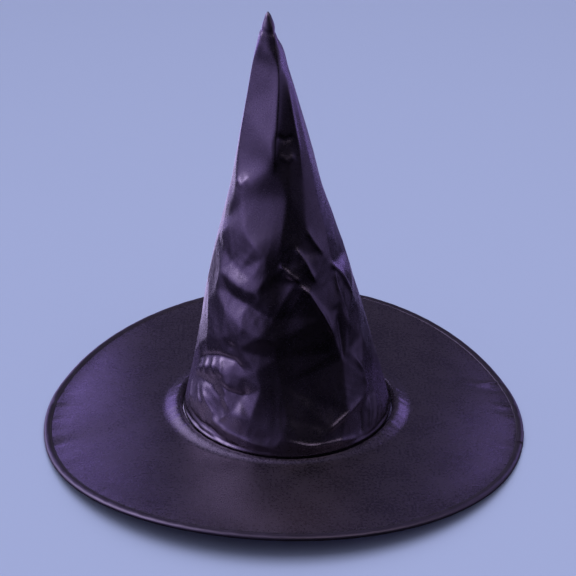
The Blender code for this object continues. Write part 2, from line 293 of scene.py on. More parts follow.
def flat_between(azimuth, rise):
    """The cloth drawn flat between its creases: how far each point lies from the plain cone, in metres.

    The creases and a scatter of lesser points are joined into triangles in the flat pattern; every
    point of the cloth is the weighted mean of its triangle's three corners in space.
    """
    draw = np.random.default_rng(20)
    marks, edges = [], []
    for path in CREASES:
        first = len(marks)
        marks += path
        edges += [(i, i + 1) for i in range(first, len(marks) - 1)]
    fixed = np.array(marks, float)
    fx, fy = pattern(np.radians(fixed[:, 0]), fixed[:, 1] * MM)
    for level in (20, 42, 64, 88, 112, 136, 162, 190, 220, 252, 286, 322):
        count = max(7, int(TURN * FOOT_RADIUS * (1 - level * MM / APEX_RISE) / (24 * MM)))
        start = draw.random()
        for k in range(count):
            degrees = (360 * (k + start + draw.uniform(-0.3, 0.3)) / count) % 360 - 180
            height = level + draw.uniform(-8, 8)
            out = draw.uniform(-1.3, 1.4) * (0.5 if level > 230 else 1)
            calm = any(a <= degrees <= b and c <= height <= d for a, b, c, d in CALM)
            x, y = pattern(np.radians(degrees), height * MM)
            if calm or abs(degrees) > 172 or np.hypot(fx - x, fy - y).min() < 11:
                continue
            marks.append((degrees, height, out))
    for height in np.linspace(10, 350, 14):
        out = 0.4 * np.sin(height / 19)
        marks += [(-180, height, out), (180, height, out)]
    marks += [(degrees, 344, 0.6) for degrees in range(-150, 160, 50)]
    marks += [(degrees, height, 0) for degrees in range(-180, 181, 12) for height in (-2.5, 366)]
    marks += [(degrees, height, 0) for degrees in (-180, 180) for height in (-40, 374)]
    marks = np.array(marks, float)
    flat = np.stack(pattern(np.radians(marks[:, 0]), marks[:, 1] * MM), -1)
    made = delaunay_2d_cdt([Vector(p) for p in flat], edges, [], 0, 1e-4)
    corners = np.array([tuple(p) for p in made[0]])
    nearest = np.linalg.norm(corners[:, None] - flat[None], axis=-1)
    weight = 1 / (nearest + 1e-3) ** 4
    stand = (weight * marks[:, 2]).sum(1) / weight.sum(1)
    turn = np.arctan2(corners[:, 0], -corners[:, 1]) / SPREAD
    climb = APEX_RISE * (1 - np.hypot(*corners.T) * MM / SLANT)
    spots = cone(turn, climb, stand * MM)
    x, y = pattern(azimuth, rise)
    shift = np.zeros((*x.shape, 3))
    for a, b, c in made[2]:
        (ax, ay), (bx, by), (cx, cy) = corners[a], corners[b], corners[c]
        area = (bx - ax) * (cy - ay) - (cx - ax) * (by - ay)
        if abs(area) < 1e-6:
            continue
        low, high = corners[[a, b, c]].min(0), corners[[a, b, c]].max(0)
        near = (x >= low[0]) & (x <= high[0]) & (y >= low[1]) & (y <= high[1])
        px, py = x[near], y[near]
        v = ((px - ax) * (cy - ay) - (cx - ax) * (py - ay)) / area
        w = ((bx - ax) * (py - ay) - (px - ax) * (by - ay)) / area
        inside = (v >= -1e-6) & (w >= -1e-6) & (v + w <= 1 + 1e-6)
        here = np.zeros(x.shape, bool)
        here[near] = inside
        v, w = v[inside, None], w[inside, None]
        shift[here] = (1 - v - w) * spots[a] + v * spots[b] + w * spots[c] - cone(azimuth[here], rise[here])
    return shift


def cone(azimuth, rise, out=0.0):
    """A point of the plain leaning cone, pushed out along its normal."""
    share = rise / CROWN_RISE
    radius = np.maximum(FOOT_RADIUS * (1 - rise / APEX_RISE) + out * APEX_RISE / SLANT, 0.4 * MM)
    centre = FOOT_CENTRE + (TIP_X - FOOT_CENTRE) * share
    height = SEAT + rise + out * FOOT_RADIUS / SLANT
    return np.stack([centre + radius * np.sin(azimuth), -radius * np.cos(azimuth), height], -1)


def blur(field, times):
    """Softens a grid whose columns close on themselves: each pass is a quarter, a half and a quarter."""
    for _ in range(times):
        field = (np.roll(field, 1, 1) + 2 * field + np.roll(field, -1, 1)) / 4
        field[1:-1] = (field[:-2] + 2 * field[1:-1] + field[2:]) / 4
    return field


def fold_relief(across, up, path, height, left, right):
    """A crease along a path in the flat pattern, standing out by height and dying away on both sides.

    From each point the nearest stretch of the path is found; the relief is
    height * exp(-distance / width), rounded at the crest and fading to nothing at both ends.
    """
    azimuth, rise = np.array(path, float).T
    corner = np.linspace(0, len(path) - 1, 8 * (len(path) - 1) + 1)
    line = pattern(
        np.radians(np.interp(corner, np.arange(len(path)), azimuth)),
        np.interp(corner, np.arange(len(path)), rise) * MM,
    )
    x, y = np.array(line)
    x[1:-1] = (x[:-2] + 2 * x[1:-1] + x[2:]) / 4
    y[1:-1] = (y[:-2] + 2 * y[1:-1] + y[2:]) / 4
    reach = 6 * max(left, right)
    inside = (across > x.min() - reach) & (across < x.max() + reach)
    inside &= (up > y.min() - reach) & (up < y.max() + reach)
    px, py = across[inside], up[inside]
    best = np.full(px.shape, 1e9)
    side = np.zeros(px.shape)
    along = np.zeros(px.shape)
    for i in range(len(x) - 1):
        dx, dy = x[i + 1] - x[i], y[i + 1] - y[i]
        length = max(np.hypot(dx, dy), 1e-6)
        t = np.clip(((px - x[i]) * dx + (py - y[i]) * dy) / length**2, 0, 1)
        gap = np.hypot(px - x[i] - t * dx, py - y[i] - t * dy)
        closer = gap < best
        best = np.where(closer, gap, best)
        side = np.where(closer, dx * (py - y[i]) - dy * (px - x[i]), side)
        along = np.where(closer, (i + t) / (len(x) - 1), along)
    width = np.where(side > 0, left, right)
    crest = 0.6
    shape = np.exp(-(np.sqrt(best**2 + crest**2) - crest) / width)
    relief = np.zeros(across.shape)
    relief[inside] = height * shape * ease(along / 0.22) * ease((1 - along) / 0.22)
    return relief


def crumple(across, up, seed, count, shortest, longest, slope):
    """Fine creases of cloth that was once folded: crossing straight ridges, each only here and there.

    Each is slope * length * (1 - |sin|) of a wave that runs mostly round the cone, times a slow patchy mask.
    """
    draw = np.random.default_rng(seed)
    bent = across + 5 * np.sin(up / 47 + 1) + 3 * np.sin(up / 21 + 2)
    total = np.zeros(across.shape)
    for _ in range(count):
        heading = draw.normal(0, 0.55)
        length = shortest * (longest / shortest) ** draw.random()
        phase, patch, drift = draw.random(3) * TURN
        wave = np.sin(np.pi * (bent * np.cos(heading) + up * np.sin(heading)) / length + phase)
        mask = np.sin(across / (1.9 * length) + patch) * np.sin(up / (2.6 * length) + drift)
        total += slope * length * (1 - np.abs(wave)) * np.clip(mask, 0, 1) ** 1.5
    return total / np.sqrt(count)


def crown_relief(azimuth, rise):
    """How far the satin stands out from its facets, in mm: pleats, fullness, crumple and the back seam."""
    across, up = pattern(azimuth, rise)
    height = rise / MM
    relief = sum(fold_relief(across, up, *pleat) for pleat in PLEATS)
    front = bump(turn_gap(azimuth, np.radians(2)), 0.24)
    front = front * ease((190 - height) / 40) * ease((height - 20) / 40)
    fullness = -3.5 * front - 1.2 * bump(height - 222, 45)
    fullness = fullness + 1.0 * bump(height - 130, 45) + 0.8 * bump(height - 330, 25)
    worn = 0.25 + 0.75 * ease((230 - height) / 60) + 0.4 * ease((np.abs(azimuth) - 1.7) / 0.6)
    worn = worn * (1 - 0.3 * bump(turn_gap(azimuth, np.radians(20)), 0.4) * ease((150 - height) / 40))
    fine = crumple(across, up, 3, 16, 6, 14, 0.040) + crumple(across, up, 11, 12, 18, 44, 0.045)
    seam = (np.pi - np.abs(azimuth)) * np.maximum(FOOT_RADIUS * (1 - rise / APEX_RISE), MM) / MM
    seam_line = -0.9 * bump(seam, 1.3) + 0.5 * bump(seam - 3, 2)
    seam_line = seam_line + 0.12 * np.sin(height / 1.7) * bump(seam - 2, 3)
    gather = bump(turn_gap(azimuth, np.radians(-52)), 0.42) * bump(height - 40, 26)
    bunched = crumple(across, up, 29, 14, 7, 15, 0.11) * gather
    return relief + fullness + worn * fine + bunched + seam_line


def tip_shape(azimuth, rise):
    """The tip, in mm: a tuck sewn across it on a slant, and a slight flare of cloth below it at the left."""
    height = rise / MM
    line = 355 - 1.5 * np.cos(azimuth - 0.5)
    tuck = -0.5 * bump(height - line, 1.6) + 0.3 * bump(height - line + 4, 2.2)
    flare = 0.5 * bump(height - 345, 5) * bump(turn_gap(azimuth, np.radians(-70)), 0.9)
    pinch = -0.6 * bump(turn_gap(azimuth, np.radians(12)), 0.30) * bump(height - 344, 9)
    narrow = -0.5 * ease((height - 336) / 10) - 1.0 * ease((height - 356) / 12)
    closed = -1.4 * np.clip((height - CROWN_RISE / MM + 4) / 4, 0, 1) ** 2
    return tuck + flare + pinch + narrow + closed


def foot_shape(azimuth, rise):
    """The foot: a narrow hem roll above the seam, drawn in further at the front right, in mm."""
    height = rise / MM
    hem = 0.6 * bump(height - 4.2, 1.6) - 0.6 * bump(height - 7.0, 1.4)
    drawn = -1.6 * ease((5.5 - height) / 6) * bump(turn_gap(azimuth, np.radians(18)), 0.75)
    return hem * (1 - 0.7 * bump(turn_gap(azimuth, np.radians(15)), 0.7)) + drawn


FLATNESS = 0.8  # how nearly the cloth reaches flat between two creases
LINING_ROWS = 226  # the interlining stops short of the tip


def crown_points(azimuth, rise, softness):
    """The crown: the cone, drawn flat between its creases, then pushed out along its normal by the relief."""
    height = rise / MM
    hold = ease((364 - height) / 16) * ease(height / 8)
    crisp = blur(flat_between(azimuth, rise), softness)
    smooth = ease((height - 165) / 50) * (0.9 - 0.4 * ease((np.abs(azimuth) - 1.7) / 0.5))
    smooth = np.maximum(smooth, 0.25 * bump(turn_gap(azimuth, np.radians(-25)), 0.6))[..., None]
    shift = FLATNESS * (crisp * (1 - smooth) + blur(crisp, 12 * softness) * smooth) * hold[..., None]
    out = crown_relief(azimuth, rise) * hold + tip_shape(azimuth, rise) + foot_shape(azimuth, rise)
    return cone(azimuth, rise, out * MM) + shift


def crown_grid(rows, cols, low, high):
    """Azimuth and rise arrays from the back seam round to it again, closer at the front and the foot."""
    turn = TURN * (np.arange(cols + 1) / cols - 0.5)
    height = low + (high - low) * np.linspace(0, 1, rows) ** 1.2
    return np.meshgrid(turn - 0.3 * np.sin(turn), height)


def make_crown():
    """The satin and the interlining inside it.

    The interlining has half as many points each way, so each of its points keeps a wall's thickness inside
    the deepest place of the satin round it and no crease cuts through.
    """
    azimuth, rise = crown_grid(244, 396, FOOT_BOTTOM - SEAT, CROWN_RISE - 0.5 * MM)
    uv = np.stack(pattern(azimuth, rise), -1) * MM
    azimuth, rise = azimuth[:, :-1], rise[:, :-1]
    points = crown_points(azimuth, rise, 2)
    pole = points[-1].mean(0) + np.array([0, 0, 0.5 * MM])
    satin_cone = surface("crown_cloth", points, pole=pole, uv=uv)
    plain = cone(azimuth, rise)
    normal = (cone(azimuth, rise, MM) - plain) / MM
    stand = ((points - plain) * normal).sum(-1)
    stand = np.minimum.reduce([np.roll(stand, step, 1) for step in range(-2, 3)])
    tall = np.pad(stand, ((2, 2), (0, 0)), mode="edge")
    stand = np.minimum.reduce([tall[step : step + len(stand)] for step in range(5)])
    wall = (0.8 + 0.8 * ease(rise / (8 * MM))) * MM
    inner = cone(azimuth, rise, stand - wall)[:LINING_ROWS:2, ::2]
    return satin_cone, surface("crown_lining", inner, flip=True, uv=uv[:LINING_ROWS:2, ::2])


# ---------------------------------------------------------------- brim
def edge_height(angle):
    """The brim's edge, as the frame has it: flat on the floor at both sides, raised front and back."""
    rest = np.sin(REST_ANGLE)
    out = np.clip((np.abs(np.sin(angle)) - rest) / (1 - rest), 0, None) ** 1.4
    lift = np.where(np.sin(angle) > 0, LIFT_BACK, LIFT_FRONT)
    return EDGE_REST + out * (lift + LIFT_TWIST * np.sin(2 * angle))


# Radial wrinkles where the binding draws the satin up: (angle in degrees, half width in mm at the edge,
# height in mm, how far in they reach in mm)
WRINKLES = (
    (176, 5, 1.1, 16),
    (171, 4, -0.5, 12),
    (-176, 4, -0.4, 12),
    (-168, 4, 0.5, 14),
    (-164, 3, -0.5, 9),
    (-156, 6, 0.4, 20),
    (162, 6, 0.4, 18),
    (154, 5, -0.3, 14),
    (16, 2.6, 1.7, 26),
    (12.5, 3, -0.5, 18),
    (5, 2.2, 1.4, 12),
    (2.5, 2, -0.6, 11),
    (0, 2.2, 1.3, 12),
    (-13, 4, 0.5, 14),
    (-18, 4, 0.5, 14),
    (98, 5, 0.3, 12),
    (60, 6, 0.4, 16),
    (-130, 6, 0.25, 14),
)


def brim_wave(angle, radius):
    """Height of the satin over its plain middle, in mm: puckers at the binding and slow unevenness."""
    edge_gap = (BRIM_RADIUS - TAPE_LEG - radius) / MM
    draw = np.random.default_rng(5)
    puckers = np.zeros(np.broadcast(angle, radius).shape)
    for turns in (61, 83, 97, 131):
        fine = np.sin(turns * angle + TURN * draw.random())
        beat = np.sin(7 * angle + TURN * draw.random())
        puckers += 0.06 * fine * beat
    wave = puckers * np.exp(-np.clip(edge_gap, 0, None) / 7)
    for middle, width, height, reach in WRINKLES:
        gap = turn_gap(angle, np.radians(middle)) * BRIM_RADIUS / MM
        gap = gap + 0.5 * np.sin(edge_gap / 4 + middle) * edge_gap / 6
        width = width * (1 + np.clip(edge_gap, 0, None) / 24)
        wave += height * bump(gap, width) * bump(np.clip(edge_gap, 0, None), reach)
    slow = 0.35 * np.sin(3 * angle + radius / 0.03) + 0.25 * np.sin(5 * angle - radius / 0.021 + 1)
    swell = ease((radius - OPENING) / (30 * MM)) * ease(edge_gap / 20)
    held = ease((WIRE_LINE - radius) / (5 * MM))  # the wire holds the edge itself even
    return (wave + slow * swell) * held


def ridge_height(angle, radius):
    """The roll of cloth round the crown: steep from the seam to its crest, then a longer fall outwards."""
    side = 0.5 + 0.5 * np.cos(2 * angle)
    crest = (2.4 + 1.6 * side) * MM
    run = (9 + 5 * side + 2 * np.sin(2 * angle + 1)) * MM
    height = (1.8 + 4.2 * side + 0.5 * np.sin(3 * angle + 1)) * MM
    gap = radius - OPENING
    rise = 0.35 + 0.65 * np.sin(np.pi / 2 * np.clip(gap / crest, 0, 1))
    fall = 0.5 + 0.5 * np.cos(np.pi * np.clip((gap - crest) / run, 0, 1))
    gathers = 0.4 * np.sin(37 * angle + 2 * np.sin(3 * angle))
    gathers = gathers + 0.25 * np.sin(71 * angle + 1 + np.sin(5 * angle))
    gathers = gathers * side * MM * np.exp(-gap / (7 * MM)) * ease(gap / MM)
    return height * np.where(gap < crest, rise, fall**1.3) + gathers


def droop(radius):
    """How far the brim has gone from the seat's height to the edge's, 0 to 1: slow at first, then steeper."""
    share = (radius - OPENING) / (BRIM_RADIUS - EDGE_LEVEL - OPENING)
    soft = 0.03
    share = -soft * np.log(np.exp(-share / soft) + np.exp(-1 / soft))
    return 1 - np.cos(np.pi / 2 * np.clip(share, 0, 1))


def brim_points(angle, radius, above=0.0, wave=1.0):
    """The brim, a dished ring from the seat down or up to the edge, with the ridge and slight waves."""
    out = droop(radius)
    height = SEAT + (edge_height(angle) - SEAT) * out + ridge_height(angle, radius)
    height = height + wave * brim_wave(angle, radius) * MM + above
    centre = FOOT_CENTRE * (1 - out)
    return np.stack([centre + radius * np.cos(angle), radius * np.sin(angle), height], -1)


def brim_sheet(name, rows, cols, above, wave, under=False):
    inner, outer = OPENING + 0.2 * MM, WIRE_LINE - 2 * MM
    share = np.linspace(0, 1, rows) ** 1.25
    angle = TURN * np.arange(cols + 1) / cols
    angle, radius = np.meshgrid(angle, inner + (outer - inner) * share)
    uv = np.stack([radius * np.cos(angle), radius * np.sin(angle)], -1)
    points = brim_points(angle[:, :-1], radius[:, :-1], above, wave)
    return surface(name, points, flip=not under, uv=uv)


def make_brim():
    top = brim_sheet("brim_top", 76, 760, STACK - 0.1 * MM, 1.0)
    under = brim_sheet("brim_underside", 40, 380, -STACK + 0.1 * MM, 0.8, under=True)
    core = make_core()
    return top, under, core


def make_core():
    """The stiffening sheet between the covers: a closed thin ring."""
    inner, outer = OPENING + 0.5 * MM, WIRE_LINE - 3 * MM
    half = 0.8 * MM
    rings = 24
    radii = np.linspace(inner, outer, rings)
    radii = np.concatenate([radii, radii[::-1], radii[:1]])
    sides = np.concatenate([np.full(rings, half), np.full(rings, -half), [half]])
    angle = TURN * np.arange(240) / 240
    angle, radius = np.meshgrid(angle, radii[:-1])
    points = brim_points(angle, radius, np.broadcast_to(sides[:-1, None], angle.shape), 0.9)
    points = np.concatenate([points, points[:1]])
    return weld(surface("brim_board", points, flip=True))


def weld(piece):
    """Merges points that lie on each other, so that a closed section is closed."""
    work = bmesh.new()
    work.from_mesh(piece.data)
    bmesh.ops.remove_doubles(work, verts=work.verts, dist=1e-7)
    work.to_mesh(piece.data)
    work.free()
    return piece


# ---------------------------------------------------------------- edge binding
TAPE_STEPS = 15  # points round the outside of the fold


def tape_section(steps, grow=0.0):
    """The folded tape's outside as (radius, height): along the top, round the edge and back underneath."""
    arm = FOLD + WALL - 0.1 * MM + grow
    inner = BRIM_RADIUS - TAPE_LEG
    turn = np.linspace(0, np.pi, steps)
    leg = np.linspace(inner, WIRE_LINE, 7)[:-1]
    radius = np.concatenate([leg, WIRE_LINE + arm * np.sin(turn) * 0.98, leg[::-1]])
    height = np.concatenate([np.full(6, arm), arm * np.cos(turn), np.full(6, -arm)])
    return radius, height


def tape_points(angle, steps, grow=0.0, pucker=1.0):
    """The section carried round the edge, swelling a little between stitches and dipping at the seam line."""
    radius, height = tape_section(steps, grow)
    inner_gap = (radius - (BRIM_RADIUS - TAPE_LEG)) / MM
    flat = np.abs(height) / np.abs(height).max()
    dip = -0.35 * bump(inner_gap - 1.1, 0.8) * flat
    roll = -0.5 * bump(inner_gap, 0.5) + 0.35 * np.sin(np.pi * np.clip((inner_gap - 1.4) / 4.6, 0, 1))
    side = np.sign(height)
    angle, radius = np.meshgrid(angle, radius)
    uneven = 0.10 * np.sin(61 * angle + 1) + 0.08 * np.sin(97 * angle + 2) + 0.05 * np.sin(173 * angle)
    lift = (dip + roll)[:, None] + pucker * uneven * bump(inner_gap - 3.5, 3)[:, None]
    above = height[:, None] + side[:, None] * lift * MM
    points = brim_points(angle, np.minimum(radius, BRIM_RADIUS), above)
    points[..., 2] = np.maximum(points[..., 2], 0.02 * MM)  # pressed flat where it rests on the floor
    return points


def make_binding():
    cols = 760
    angle = TURN * np.arange(cols) / cols
    outer = tape_points(angle, TAPE_STEPS)
    inner = tape_points(angle, TAPE_STEPS, grow=-0.4 * MM)
    points = np.concatenate([outer, inner[::-1], outer[:1]])
    across = np.concatenate([[0], np.cumsum(np.linalg.norm(np.diff(points[:, 0], axis=0), axis=-1))])
    along = TURN * BRIM_RADIUS * np.arange(cols + 1) / cols
    uv = np.stack(np.meshgrid(along, across), -1)
    return weld(surface("binding", points, flip=True, uv=uv))


def make_lap():
    """The tape's end, laid over its start: a short second fold with closed ends, frayed where it was cut."""
    low, high = (float(np.arcsin(corner.y / BRIM_RADIUS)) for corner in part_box("binding_lap"))
    angle = np.concatenate([[low], np.linspace(low, high, 24), [high]])
    outer = tape_points(angle, TAPE_STEPS, grow=0.75 * MM)
    inner = tape_points(angle, TAPE_STEPS, grow=0.05 * MM)
    for end in (0, -1):
        inner[:, end] = outer[:, end] = (inner[:, end] + outer[:, end]) / 2
    points = np.concatenate([outer, inner[::-1], outer[:1]])
    draw = np.random.default_rng(8)
    fray = draw.uniform(-0.5, 0.5, len(outer)) * MM
    fray = np.concatenate([fray, fray[::-1], fray[:1]])
    points[:, :2, 1] += fray[:, None]
    across = np.concatenate([[0], np.cumsum(np.linalg.norm(np.diff(points[:, 5], axis=0), axis=-1))])
    uv = np.stack(np.meshgrid(angle * BRIM_RADIUS, across), -1)
    return weld(surface("binding_lap_end", points, wrap=False, flip=True, uv=uv))


# ---------------------------------------------------------------- stitches
STITCH_RINGS = 5
STITCH_SIDES = 6


def stitches(name, centre_at, pitch, length, radius, total):
    """A row of short thread ends: one small capsule per stitch, set along a path that centre_at gives.

    centre_at(share) returns points for shares of the path; each capsule is a six-sided tube with
    tapered ends, laid from one point of the path to the next.
    """
    count = int(total / pitch)
    middle = np.arange(count) / count
    half = length / total / 2
    steps = np.linspace(-1, 1, STITCH_RINGS)
    share = middle[:, None] + half * steps[None, :]
    line = centre_at(share)
    ahead = centre_at(share + 1e-4) - line
    ahead /= np.linalg.norm(ahead, axis=-1, keepdims=True)
    up = np.broadcast_to(np.array([0.0, 0, 1]), ahead.shape)
    side = np.cross(ahead, up)
    side /= np.linalg.norm(side, axis=-1, keepdims=True)
    up = np.cross(side, ahead)
    thick = radius * np.sqrt(np.clip(1 - (steps * 0.97) ** 4, 0, 1))
    sink = -0.5 * radius * steps**2
    turn = TURN * np.arange(STITCH_SIDES) / STITCH_SIDES
    across, over = np.cos(turn)[None, None, :, None], np.sin(turn)[None, None, :, None]
    ring = (
        line[:, :, None, :]
        + up[:, :, None, :] * sink[None, :, None, None]
        + thick[None, :, None, None]
        * (side[:, :, None, :] * across + up[:, :, None, :] * over)
    )
    vertices = ring.reshape(-1, 3)
    row, col = np.meshgrid(np.arange(STITCH_RINGS - 1), np.arange(STITCH_SIDES), indexing="ij")
    near, far = row * STITCH_SIDES + col, row * STITCH_SIDES + (col + 1) % STITCH_SIDES
    quad = np.stack([near, far, far + STITCH_SIDES, near + STITCH_SIDES], -1).reshape(-1, 4)
    first = STITCH_RINGS * STITCH_SIDES * np.arange(count)[:, None, None]
    faces = (quad[None] + first).reshape(-1, 4)
    start = np.arange(STITCH_SIDES)[None]
    ends = np.concatenate([start[:, ::-1], (STITCH_RINGS - 1) * STITCH_SIDES + start])
    caps = (ends[None] + first).reshape(-1, STITCH_SIDES)
    mesh = bpy.data.meshes.new(name)
    mesh.from_pydata(vertices.tolist(), [], faces.tolist() + caps.tolist())
    mesh.shade_smooth()
    made = bpy.data.objects.new(name, mesh)
    bpy.context.scene.collection.objects.link(made)
    return made


def edge_stitches(name, side):
    inset = BRIM_RADIUS - TAPE_LEG + 1.1 * MM
    lift = side * (FOLD + WALL - 0.25 * MM)

    def at(share):
        points = brim_points(TURN * share, np.full(share.shape, inset), lift)
        points[..., 2] = np.maximum(points[..., 2], 0.25 * MM)  # the thread stays above the floor
        return points

    return stitches(name, at, 2.9 * MM, 2.3 * MM, 0.22 * MM, TURN * inset)


# ---------------------------------------------------------------- sweatband
def make_sweatband():
    """A ribbon inside the foot: a closed thin strip that follows the crown's slope."""
    rows, cols = 22, 240
    azimuth = -np.pi + TURN * np.arange(cols) / cols
    heights = np.linspace(band_low.z - SEAT, band_high.z - SEAT, rows)
    azimuth, rise = np.meshgrid(azimuth, heights)

    def ring(inset):
        radius = FOOT_RADIUS * (1 - rise / APEX_RISE) - inset
        centre = FOOT_CENTRE + (TIP_X - FOOT_CENTRE) * rise / CROWN_RISE
        return np.stack([centre + radius * np.sin(azimuth), -radius * np.cos(azimuth), SEAT + rise], -1)

    wave = 0.12 * MM * np.sin(9 * azimuth + 1)
    inner, outer = ring(BAND_INSET + wave), ring(BAND_INSET - BAND_WALL + wave)
    points = np.concatenate([inner, outer[::-1], inner[:1]])
    return weld(surface("sweatband_ribbon", points, flip=True))


# ---------------------------------------------------------------- materials
def colour(hex_value):
    """An sRGB hex colour as linear RGBA."""
    part = np.array([int(hex_value[i : i + 2], 16) for i in (1, 3, 5)]) / 255
    line = np.where(part <= 0.04045, part / 12.92, ((part + 0.055) / 1.055) ** 2.4)
    return (*line.tolist(), 1.0)


def new_material(name):
    made = bpy.data.materials.new(name)
    made.use_nodes = True
    tree = made.node_tree
    return made, tree, tree.nodes["Principled BSDF"]


def add(tree, kind, settings=None, **inputs):
    """Adds a node; settings are its own properties, inputs are sockets given a value or a link."""
    node = tree.nodes.new(kind)
    for key, value in (settings or {}).items():
        setattr(node, key, value)
    for key, value in inputs.items():
        socket = node.inputs[int(key[1:]) if key[0] == "i" and key[1:].isdigit() else key.replace("_", " ")]
        if isinstance(value, bpy.types.NodeSocket):
            tree.links.new(value, socket)
        else:
            socket.default_value = value
    return node


def settle(shader, **values):
    """Sets a shader's sockets by name, with an underscore for each space."""
    for key, value in values.items():
        shader.inputs[key.replace("_", " ")].default_value = value


CLOUDS_PER_METRE = 28.0
SPECKS_PER_METRE = 420.0
THREAD_RELIEF = 0.0001  # depth of the satin's ribs, in metres
FIBRE_RELIEF = 0.0003  # depth of the matt cloth's fibres, in metres


def satin(name, shade, light, roughness, sheen, thread_mm=0.45, grain=0.1, fleck=0.0, gloss=1.0):
    """Polyester satin: long floats that lie side by side, so the gloss is smooth and runs across them.

    Fine parallel ribs stand for the floats, drawn at thread_mm instead of 0.1 mm so that they can show.
    Slow clouds vary the colour as the cloth's tension does. fleck is how strongly specks, drawn much
    coarser than threads, show in the colour; gloss is the strength of the reflection.
    """
    made, tree, shader = new_material(name)
    uv = add(tree, "ShaderNodeUVMap", {"uv_map": "cloth"})
    ribs = add(
        tree,
        "ShaderNodeTexWave",
        {"wave_type": "BANDS", "bands_direction": "X"},
        Vector=uv.outputs[0],
        Scale=TURN / (20 * thread_mm * MM),
        Distortion=1.5,
        Detail=2.0,
    )
    cloth = uv.outputs[0]
    cloud = add(tree, "ShaderNodeTexNoise", Vector=cloth, Scale=CLOUDS_PER_METRE, Detail=4.0, Roughness=0.6)
    speck = add(tree, "ShaderNodeTexNoise", Vector=cloth, Scale=SPECKS_PER_METRE, Detail=3.0, Roughness=0.7)
    sum_of = {"operation": "MULTIPLY_ADD"}
    mixed = add(tree, "ShaderNodeMath", sum_of, i0=speck.outputs[0], i1=fleck, i2=cloud.outputs[0])
    span = {"From_Min": 0.3 + 0.5 * fleck, "From_Max": 0.7 + 0.5 * fleck}
    tint = add(tree, "ShaderNodeMapRange", Value=mixed.outputs[0], **span)
    ends = {"i6": colour(shade), "i7": colour(light)}
    mix = add(tree, "ShaderNodeMix", {"data_type": "RGBA"}, i0=tint.outputs[0], **ends)
    tree.links.new(mix.outputs[2], shader.inputs["Base Color"])
    rough = add(
        tree,
        "ShaderNodeMapRange",
        Value=mixed.outputs[0],
        To_Min=roughness - 0.04,
        To_Max=roughness + 0.05,
        **span,
    )
    tree.links.new(rough.outputs[0], shader.inputs["Roughness"])
    height = add(tree, "ShaderNodeMath", sum_of, i0=speck.outputs[0], i1=3.0, i2=ribs.outputs[0])
    relief = add(tree, "ShaderNodeBump", Strength=grain, Distance=THREAD_RELIEF, Height=height.outputs[0])
    tree.links.new(relief.outputs[0], shader.inputs["Normal"])
    tangent = add(tree, "ShaderNodeTangent", {"direction_type": "UV_MAP", "uv_map": "cloth"})
    tree.links.new(tangent.outputs[0], shader.inputs["Tangent"])
    settle(shader, IOR=1.8, Specular_IOR_Level=gloss, Specular_Tint=colour("#ffebfd"), Anisotropic=0.35)
    settle(shader, Sheen_Weight=sheen, Sheen_Roughness=0.35, Sheen_Tint=colour("#b59be0"))
    return made


def plain_cloth(name, shade, roughness, scale, strength, sheen=0.2):
    """Matt cloth: non-woven felt or ribbon, whose fibres scatter light and leave a fine uneven surface."""
    made, tree, shader = new_material(name)
    place = add(tree, "ShaderNodeTexCoord")
    noise = add(tree, "ShaderNodeTexNoise", Vector=place.outputs["Object"], Scale=scale, Detail=6.0)
    span = {"From_Min": 0.3, "From_Max": 0.7, "To_Min": 0.7, "To_Max": 1.3}
    patches = add(tree, "ShaderNodeMapRange", Value=noise.outputs[0], **span)
    product = {"data_type": "RGBA", "blend_type": "MULTIPLY"}
    base = add(tree, "ShaderNodeMix", product, i0=1.0, i6=colour(shade))
    tree.links.new(patches.outputs[0], base.inputs[7])
    tree.links.new(base.outputs[2], shader.inputs["Base Color"])
    relief = add(tree, "ShaderNodeBump", Strength=strength, Distance=FIBRE_RELIEF, Height=noise.outputs[0])
    tree.links.new(relief.outputs[0], shader.inputs["Normal"])
    settle(shader, Roughness=roughness, Sheen_Weight=sheen)
    return made


def spring_steel():
    """Drawn spring wire: bright grey metal with fine lengthwise drawing marks."""
    made, tree, shader = new_material("drawn_spring_steel")
    place = add(tree, "ShaderNodeTexCoord")
    noise = add(tree, "ShaderNodeTexNoise", Vector=place.outputs["Object"], Scale=1500.0, Detail=3.0)
    rough = add(tree, "ShaderNodeMapRange", Value=noise.outputs[0], To_Min=0.25, To_Max=0.5)
    tree.links.new(rough.outputs[0], shader.inputs["Roughness"])
    settle(shader, Base_Color=colour("#b9bbc0"), Metallic=1.0)
    return made


def wear(piece, finish):
    piece.data.materials.clear()
    piece.data.materials.append(finish)


# ---------------------------------------------------------------- assembly
crown_satin = satin("crown_polyester_satin", "#020203", "#050405", 0.28, 0.0, grain=0.22, fleck=1.0)
brim_satin = satin(
    "brim_polyester_satin", "#08070a", "#211d25", 0.30, 0.02, thread_mm=0.8, grain=0.5, fleck=3.0
)
tape_satin = satin("bias_tape_satin", "#0a0810", "#15111f", 0.45, 0.06, gloss=0.7)
felt = plain_cloth("nonwoven_interlining", "#19191c", 0.9, 1400.0, 0.5)
board = plain_cloth("nonwoven_stiffener", "#1d1d20", 0.9, 1400.0, 0.5)
ribbon = plain_cloth("grosgrain_ribbon", "#101012", 0.7, 900.0, 0.4)
cotton = plain_cloth("spun_polyester_thread", "#15121c", 0.6, 3000.0, 0.3)
steel = spring_steel()

crown, lining = make_crown()
wear(crown, crown_satin)
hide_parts("crown_satin_lower", "crown_satin_bend", "crown_satin_top")

wear(lining, felt)
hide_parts("crown_interlining_lower", "crown_interlining_bend", "crown_interlining_top")

for piece in (crown, lining):
    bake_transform(piece)

top, under, core = make_brim()
for piece, node in ((top, "brim_top_cover"), (under, "brim_under_cover")):
    wear(piece, brim_satin)
    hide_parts(node)
    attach(piece, "hat")
wear(core, board)
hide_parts("brim_core")
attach(core, "hat")

binding = make_binding()
wear(binding, tape_satin)
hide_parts("edge_binding")
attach(binding, "hat")

